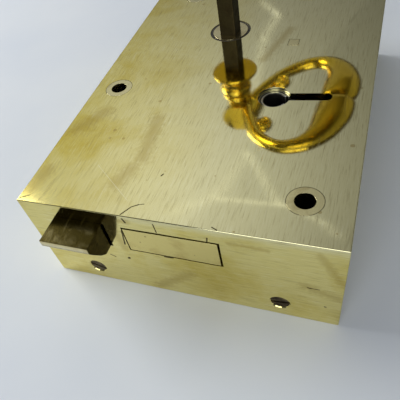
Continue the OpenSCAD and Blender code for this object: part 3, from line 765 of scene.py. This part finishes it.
fitted("latch_bolt", "latch_bolt_worn", latch_brass, "latch", 0.45, 3)

# ---------------------------------------------------------------- latch spring, its post and the bridge
# A coil of oiled steel wire lies in a window in the latch's tail, against a post in the face. A
# brass strap bridges the tail and holds it to the face.

coil_low, coil_high = (Vector(c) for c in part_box("latch_spring"))
coil_middle = (coil_low + coil_high) / 2
wire_radius = 0.5 * MM
coil_sizes = {"Turns": 8.0, "Coil Radius": 2.95 * MM, "Wire Radius": wire_radius,
              "Length": coil_high.y - coil_low.y - 2 * wire_radius}
coil_tree, size, result = node_tree("coil", coil_sizes)
helix = add(coil_tree, "GeometryNodeCurveSpiral", {
    "Resolution": 40, "Rotations": size["Turns"], "Start Radius": size["Coil Radius"],
    "End Radius": size["Coil Radius"], "Height": size["Length"]})
wire = add(coil_tree, "GeometryNodeCurvePrimitiveCircle", {"Resolution": 12, "Radius": size["Wire Radius"]})
swept = add(coil_tree, "GeometryNodeCurveToMesh", {
    "Curve": helix.outputs[0], "Profile Curve": wire.outputs[0], "Fill Caps": True})
laid = add(coil_tree, "GeometryNodeTransform", {
    "Geometry": swept.outputs[0], "Rotation": (-math.pi / 2, 0.0, 0.0)})
close_tree(coil_tree, laid.outputs[0], size, result)


def dark_steel(name, colour, rust, roughness, size=150.0, start=0.45, end=0.7, depth=0.35):
    """Oily or rust-bloomed steel with a fine uneven skin."""
    material, tree, shader, place, normal = finish_material(name, colour)
    lines = use(tree, brushing, Place=place, Facing=normal, Fineness=3600.0)
    bloom = use(tree, tarnish, Place=place, Size=size, Start=start, End=end)
    mixed = blend_colour(tree, bloom["Film"], colour, rust)
    scratched = tuple(min(1.0, c * 2.2) for c in colour)
    mixed = blend_colour(tree, scaled(tree, lines["Scratches"], 0.7), mixed, scratched)
    rough = scaled(tree, lines["Lines"], 0.12, scaled(tree, bloom["Film"], 0.2, roughness))
    relief = scaled(tree, bloom["Film"], -0.8, noise(tree, place, 900.0, 4.0))
    surface(tree, shader, mixed, rough, relief, depth, 0.05 * MM)
    return material


spring_steel = dark_steel("spring_steel", (0.30, 0.30, 0.29), (0.13, 0.09, 0.06), 0.28)
host = points("coil_points", [(coil_middle.x, coil_low.y + wire_radius, coil_middle.z)])
coil = smooth(grow("latch_spring_coil", coil_tree, host, coil_sizes, spring_steel))
dress(coil, spring_steel, "lock_case", "latch_spring")
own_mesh(coil)

stud_brass = old_brass("stud_brass", (0.66, 0.54, 0.27), (0.56, 0.44, 0.20), (0.25, 0.17, 0.07),
                       0.22, size=140.0)
for node, name in (("latch_spring_post", "latch_post_turned"), ("latch_bridge", "latch_bridge_strap"),
                   ("bolt_guide_stud", "guide_stud_turned"), ("lever_post", "lever_post_turned")):
    fitted(node, name, stud_brass, "lock_case", 0.12)

# ---------------------------------------------------------------- hub
# Cast brass hub that turns in the face with a square hole for the spindle and an arm that draws
# the latch in. Its face is flush with the lock's, inside a groove; a near-black ring laid in the groove is
# painted shade.

hub_brass = old_brass("hub_brass", (0.70, 0.63, 0.36), (0.60, 0.51, 0.27), (0.34, 0.25, 0.10),
                      0.08, size=150.0, start=0.5, end=0.8)
fitted("hub", "hub_cast", hub_brass, "follower", 0.06)
# painted shade: a near-black, lumpy ring fills the hub's groove and stands in for the shadow down in it
groove_shade_black, tree, shader, place, normal = finish_material("groove_shade_black", (0.03, 0.026, 0.016))
lumps = noise(tree, place, 900.0, 3.0)
lumpy_shade_colour = ramp(tree, lumps, (0.3, (0.012, 0.010, 0.006)), (0.75, (0.07, 0.055, 0.03)))
bump = add(tree, "ShaderNodeBump", {"Strength": 0.6, "Distance": 0.1 * MM, "Height": lumps})
tree.links.new(lumpy_shade_colour, shader.inputs["Base Color"])
tree.links.new(scaled(tree, lumps, 0.3, 0.35), shader.inputs["Roughness"])
tree.links.new(bump.outputs["Normal"], shader.inputs["Normal"])
groove_shade_solid, hub_room = bmesh.new(), bmesh.new()
rod(groove_shade_solid, (hub_x, hub_y, face_top - 1.15 * MM), hub_radius + groove_width - 0.03 * MM, 0.95 * MM,
    sides=128)
rod(hub_room, (hub_x, hub_y, face_top - 2 * MM), hub_radius + 0.04 * MM, 4 * MM, sides=128)
groove_shade = cut(piece_from("hub_groove_shade", groove_shade_solid), hub_room)
dress(ease(groove_shade, 0.12 * MM, 2), groove_shade_black, "lock_case", slot="case_brass")

# ---------------------------------------------------------------- spindle
# Square steel bar, forged and filed, that joins the handle to the hub. Nearly black, with its
# edges eased.

spindle_steel = dark_steel("spindle_steel", (0.06, 0.05, 0.03), (0.03, 0.022, 0.012), 0.30, size=220.0)
fitted("spindle", "spindle_bar", spindle_steel, "handle", 0.18)

# ---------------------------------------------------------------- handle neck and pin
# Turned brass neck soldered on the spindle: a flared collar, a hollow and a bulge, a bead, and a
# tongue that the loop hangs from. A round pin goes through loop and tongue.

handle_turn = math.radians(-4)
neck_foot = 58.5
pin_height = 81.5
tongue_foot, tongue_half_width, tongue_half_thick = 73.0, 3.5, 2.0


def handle_place(x, y, z):
    """A point given in the handle's own frame, in mm."""
    c, s = math.cos(handle_turn), math.sin(handle_turn)
    return Vector((hub_x + (x * c - y * s) * MM, hub_y + (x * s + y * c) * MM, z * MM))


def smooth_path(knots, steps):
    """A flowing line through the knots."""
    out = []
    last = len(knots) - 1
    for i in range(last):
        near = [knots[max(0, min(last, i + k))] for k in (-1, 0, 1, 2)]
        for j in range(steps):
            t = j / steps
            out.append([0.5 * (2 * b + (c - a) * t + (2 * a - 5 * b + 4 * c - d) * t * t
                               + (3 * b - a - 3 * c + d) * t ** 3) for a, b, c, d in zip(*near)])
    out.append(list(knots[-1]))
    return out


def turned(bm, outline, foot, sides=96):
    """A solid turned about Z from (radius, height) in mm; the outline starts and ends on the axis."""
    rings = []
    for radius, height in outline:
        around = [2 * math.pi * k / sides for k in range(sides if radius else 1)]
        rings.append([bm.verts.new((foot[0] + radius * MM * math.cos(a), foot[1] + radius * MM * math.sin(a),
                                    foot[2] + height * MM)) for a in around])
    for low, high in zip(rings, rings[1:]):
        for k in range(sides):
            j = (k + 1) % sides
            corners = [low[k % len(low)], low[j % len(low)], high[j % len(high)], high[k % len(high)]]
            corners = list(dict.fromkeys(corners))
            if len(corners) > 2:
                bm.faces.new(corners)


collar = smooth_path([(9.6, 0.0), (9.88, 0.35), (9.9, 0.75), (9.75, 1.1), (9.2, 1.6), (8.2, 2.5), (7.3, 3.6),
                      (6.6, 5.0), (6.25, 6.2), (6.2, 6.7)], 4)
bulge = smooth_path([(6.45, 6.8), (6.7, 7.1), (6.85, 7.9), (6.85, 8.8), (6.65, 9.8), (6.3, 10.6),
                     (6.0, 11.0)], 4)
bead = smooth_path([(5.75, 11.1), (6.15, 11.35), (6.28, 11.8), (6.2, 12.3), (5.85, 12.75), (5.4, 12.95)], 4)
throat = smooth_path([(5.2, 13.0), (5.28, 13.4), (5.1, 14.1), (4.5, 14.7), (3.7, 15.1), (3.4, 15.2)], 3)
spindle_socket = [(0, 5.0), (3.3, 5.0), (3.3, 0.0)]
bm = bmesh.new()
turned(bm, spindle_socket + collar + bulge + bead + throat + [(0, 15.2)], handle_place(0, 0, neck_foot))
bmesh.ops.recalc_face_normals(bm, faces=bm.faces)
neck = smooth(piece_from("handle_neck_turned", bm))
edges = neck.modifiers.new("crisp_turns", "EDGE_SPLIT")
edges.split_angle = math.radians(38)

gold_brass = (0.72, 0.53, 0.07)
# the loop is smooth from the hand, and its boss's ends are dull as filed
handle_brass, tree, shader, place, normal = finish_material("handle_brass", gold_brass)
film = use(tree, tarnish, Place=place, Size=110.0, Start=0.5, End=0.8)
lines = use(tree, brushing, Place=place, Facing=normal, Fineness=3000.0, Length=500.0)
colour = blend_colour(tree, scaled(tree, film["Film"], 0.55), gold_brass, (0.45, 0.28, 0.045))
colour = blend_colour(tree, scaled(tree, film["Spots"], 0.4), colour, (0.2, 0.12, 0.03))
# the lobes that the hand pulls are browner than the arms
out_along = add(tree, "ShaderNodeSeparateXYZ", {0: place}).outputs["X"]
handled = spread(tree, out_along, hub_x + 26 * MM, hub_x + 42 * MM)
colour = blend_colour(tree, scaled(tree, handled, 0.55), colour, (0.30, 0.19, 0.02))
across = add(tree, "ShaderNodeSeparateXYZ", {0: normal}).outputs["Y"]
flat_end = spread(tree, sums(tree, "ABSOLUTE", across), 0.96, 0.99)
rough = scaled(tree, film["Film"], 0.12, 0.11)
rough = scaled(tree, flat_end, 0.22, rough)
rough = scaled(tree, lines["Lines"], 0.06, rough)
relief = scaled(tree, lines["Scratches"], -0.6, scaled(tree, lines["Lines"], 0.6))
relief = scaled(tree, noise(tree, place, 260.0, 2.0), 1.2, relief)
surface(tree, shader, colour, rough, relief, 0.25, 0.04 * MM)
dress(neck, handle_brass, "handle", "handle_neck")

bm = bmesh.new()
turn = Matrix.Translation(handle_place(0, 0, 0)) @ Matrix.Rotation(handle_turn, 4, "Z")
block(bm, Vector((-tongue_half_width, -tongue_half_thick, tongue_foot)) * MM,
      Vector((tongue_half_width, tongue_half_thick, pin_height)) * MM)
rod(bm, (0, -tongue_half_thick * MM, pin_height * MM), tongue_half_width * MM, 2 * tongue_half_thick * MM,
    (0, 1, 0), 64)
bmesh.ops.transform(bm, matrix=turn, verts=bm.verts)
dress(ease(piece_from("handle_tongue", bm), 0.2 * MM, 2), handle_brass, "handle")
fitted("loop_pin", "loop_pin_rivet", handle_brass, "handle", 0.2)

# ---------------------------------------------------------------- drop loop
# Cast brass loop: a barrel-shaped boss on the pin, two round arms that swell into heavy lobes with
# a crease where they meet, and a small scroll curled inside each arm's root.

loop_droop = math.radians(10)
loop_drop = 4.0


def loop_place(x, y, z):
    """A point in the loop's own plane, in mm: x along the drop, y across, z out."""
    z -= loop_drop
    c, s = math.cos(loop_droop), math.sin(loop_droop)
    return handle_place(x * c + z * s, y, pin_height - x * s + z * c)


def sweep(bm, path, sides=28, square=2.0):
    """A closed tube through (x, y, half width, half thickness) stations in the loop's plane."""
    rings = []
    for i, (x, y, wide, thick) in enumerate(path):
        ahead, behind = path[min(i + 1, len(path) - 1)], path[max(i - 1, 0)]
        way = Vector((ahead[0] - behind[0], ahead[1] - behind[1])).normalized()
        ring = []
        for k in range(sides):
            a = 2 * math.pi * k / sides
            u = math.copysign(abs(math.cos(a)) ** (2 / square), math.cos(a)) * wide
            v = math.copysign(abs(math.sin(a)) ** (2 / square), math.sin(a)) * thick
            ring.append(bm.verts.new(loop_place(x - way.y * u, y + way.x * u, v)))
        rings.append(ring)
    for low, high in zip(rings, rings[1:]):
        for k in range(sides):
            j = (k + 1) % sides
            bm.faces.new((low[k], low[j], high[j], high[k]))
    bm.faces.new(list(reversed(rings[0])))
    bm.faces.new(rings[-1])


half_loop = [(5.8, 2.5, 2.6, 2.6), (10.6, 12.8, 2.8, 2.7), (16.3, 22, 2.8, 2.7), (24, 28.2, 2.8, 2.7),
             (31.6, 30.4, 3.0, 2.8), (39.3, 27.7, 4.1, 3.2), (44.4, 21, 6.1, 3.8), (46.5, 12.7, 7.8, 4.35),
             (46.9, 6, 8.1, 4.4), (46.8, 2.0, 7.5, 4.1), (46.8, 0.5, 6.3, 3.2), (46.8, 0.0, 5.9, 2.8)]
bm = bmesh.new()
path = smooth_path(half_loop, 5)
path += [(x, -y, w, t) for x, y, w, t in reversed(path[:-1])]
sweep(bm, path)
bmesh.ops.recalc_face_normals(bm, faces=bm.faces)
loop = smooth(piece_from("drop_loop_cast", bm))
dress(loop, handle_brass, "loop", "drop_loop")

scroll_x, scroll_y, scroll_reach, scroll_eye = 17.7, 15.2, 4.0, 1.0
eye_radius = 1.5
for side, hand in ((1, "left"), (-1, "right")):
    spiral = []
    for i in range(41):
        t = i / 40
        angle = side * math.radians(150 - 470 * t)
        reach = scroll_reach + (scroll_eye - scroll_reach) * t
        spiral.append((scroll_x + reach * math.cos(angle), side * scroll_y + reach * math.sin(angle),
                       1.35 - 0.35 * t, 2.2 - 0.5 * t))
    bm = bmesh.new()
    sweep(bm, spiral, 16)
    bmesh.ops.create_uvsphere(bm, u_segments=20, v_segments=12, radius=eye_radius * MM,
                              matrix=Matrix.Translation(loop_place(scroll_x, side * scroll_y, 0.0)))
    bmesh.ops.recalc_face_normals(bm, faces=bm.faces)
    dress(smooth(piece_from("loop_scroll_" + hand, bm)), handle_brass, "loop")

# boss: a rounded barrel across the pin, slotted for the tongue
boss_radius, boss_half, boss_out = 6.2, 6.0, 4.4
slot_radius, slot_half = 3.9, 2.2
pin_hole_radius = 1.85
turn = Matrix.Translation(handle_place(0, 0, pin_height)) @ Matrix.Rotation(handle_turn, 4, "Z")
turn = turn @ Matrix.Rotation(loop_droop, 4, "Y")
upright = turn @ Matrix.Rotation(-loop_droop, 4, "Y")
outline = []
for middle, start in ((boss_out, -90), (0.0, 90)):
    for i in range(46):
        a = math.radians(start + 4 * i)
        outline.append(((middle + boss_radius * math.cos(a)) * MM, boss_radius * math.sin(a) * MM))
bm = bmesh.new()
prism(bm, outline, -boss_half * MM, boss_half * MM)
bmesh.ops.transform(bm, matrix=turn @ Matrix.Rotation(math.radians(90), 4, "X"), verts=bm.verts)
boss = piece_from("loop_boss", bm)
cutters = []
near_radius = slot_radius - 0.05
for low, high, stand in (((-7.3, -slot_half, -11), (0, slot_half, near_radius), turn),
                         ((-near_radius, -slot_half, -11), (near_radius, slot_half, 0.2), upright)):
    room = bmesh.new()
    block(room, Vector(low) * MM, Vector(high) * MM)
    bmesh.ops.transform(room, matrix=stand, verts=room.verts)
    cutters.append(room)
for radius, half in ((slot_radius, slot_half), (pin_hole_radius, boss_half + 1)):
    room = bmesh.new()
    rod(room, (0, -half * MM, 0), radius * MM, 2 * half * MM, (0, 1, 0), 64)
    bmesh.ops.transform(room, matrix=turn, verts=room.verts)
    cutters.append(room)
cut(boss, *cutters)
dress(ease(boss, 0.5 * MM, 3), handle_brass, "loop")

# ---------------------------------------------------------------- deadbolt
# Cast brass bolt with a filed face flush in the forend, a thin tail with a notch for the key, and
# a steel stump that the levers check.

bolt_brass = old_brass("bolt_brass", (0.78, 0.67, 0.27), (0.70, 0.59, 0.19), (0.48, 0.34, 0.09),
                       0.12, size=80.0, start=0.5, end=0.8)
fitted("deadbolt", "deadbolt_filed", bolt_brass, "bolt", 0.10)
stump_steel = dark_steel("stump_steel", (0.33, 0.32, 0.29), (0.14, 0.10, 0.07), 0.25)
fitted("bolt_stump", "bolt_stump_filed", stump_steel, "bolt", 0.15)

# ---------------------------------------------------------------- levers
# Three brass levers on one post, each with a flat steel spring let into its boss that bears on the
# square bar. Rolled sheet, sawn out and filed, with thin washers between them.

lever_brass = old_brass("lever_brass", (0.78, 0.63, 0.30), (0.70, 0.55, 0.24), (0.34, 0.23, 0.09),
                        0.18, size=100.0)
leaf_lengths = 24
for number, letter in enumerate("abc", 1):
    fitted("lever_%d" % number, "lever_plate_%d" % number, lever_brass, "lever_" + letter, 0.10)
    # the leaf is cut across into short lengths, along X and along Y
    spring = "lever_spring_%d" % number
    leaf = cad_copy(spring, "lever_spring_leaf_%d" % number)
    leaf_low, leaf_high = (Vector(c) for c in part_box(spring))
    bm = bmesh.new()
    bm.from_mesh(leaf.data)
    for i in range(1, leaf_lengths):
        for way in (Vector((1, 0, 0)), Vector((0, 1, 0))):
            bmesh.ops.bisect_plane(bm, geom=bm.verts[:] + bm.edges[:] + bm.faces[:], plane_no=way,
                                   plane_co=leaf_low.lerp(leaf_high, i / leaf_lengths))
    bm.to_mesh(leaf.data)
    bm.free()
    leaf.data.materials.clear()
    leaf.data.materials.append(spring_steel)
    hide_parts(spring)
    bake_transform(leaf)

washer_low, washer_high = (Vector(c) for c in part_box("lever_washers"))
washer_middle = (washer_low + washer_high) / 2
washer_thick = 0.3 * MM
washer_sizes = {"Count": 3, "Pitch": (washer_high.z - washer_low.z - washer_thick) / 2,
                "Radius": (washer_high.x - washer_low.x) / 2, "Hole Radius": 2.55 * MM,
                "Thickness": washer_thick}
washer_tree, size, result = node_tree("washers", washer_sizes)
ring = tube(washer_tree, 64, size["Radius"], size["Hole Radius"], size["Thickness"])
pitch = add(washer_tree, "ShaderNodeCombineXYZ", {"Z": size["Pitch"]})
stack = add(washer_tree, "GeometryNodeMeshLine", {"Count": size["Count"], "Offset": pitch.outputs[0]})
on_stack = add(washer_tree, "GeometryNodeInstanceOnPoints", {"Points": stack.outputs[0], "Instance": ring})
close_tree(washer_tree, on_stack.outputs[0], size, result)
host = points("washer_points", [(washer_middle.x, washer_middle.y, washer_low.z + washer_thick / 2)])
washers = grow("lever_washer_set", washer_tree, host, washer_sizes, stump_steel)
dress(washers, stump_steel, "lock_case", "lever_washers")

# ---------------------------------------------------------------- keyhole barrel
# Turned steel barrel that the key goes into and turns with, a little below the face. Black with
# old oil; two thin bright rings round its top are painted highlights along its edges.

barrel_steel = dark_steel("barrel_steel", (0.12, 0.12, 0.105), (0.05, 0.045, 0.035), 0.28, size=260.0)
tree = barrel_steel.node_tree
shader = tree.nodes["Principled BSDF"]
aged_and_highlit = shader.inputs["Base Color"].links[0].from_socket
place = add(tree, "ShaderNodeTexCoord").outputs["Object"]
flat_place = vectors(tree, "MULTIPLY", place, (1.0, 1.0, 0.0))
from_axis = vectors(tree, "DISTANCE", flat_place, (key_x, key_y, 0.0))
# painted highlights: two thin bright rings, one near the barrel's rim and one near its hole, stand in for
# light caught on its edges
for highlight_radius in (barrel_radius - 0.25 * MM, barrel_radius - 1.35 * MM):
    off_highlight = sums(tree, "ABSOLUTE", sums(tree, "SUBTRACT", from_axis, highlight_radius))
    painted_edge_highlight = spread(tree, off_highlight, 0.22 * MM, 0.12 * MM)
    aged_and_highlit = blend_colour(tree, painted_edge_highlight, aged_and_highlit, (0.62, 0.62, 0.55))
tree.links.new(aged_and_highlit, shader.inputs["Base Color"])
fitted("key_barrel", "key_barrel_turned", barrel_steel, "barrel", 0.2)
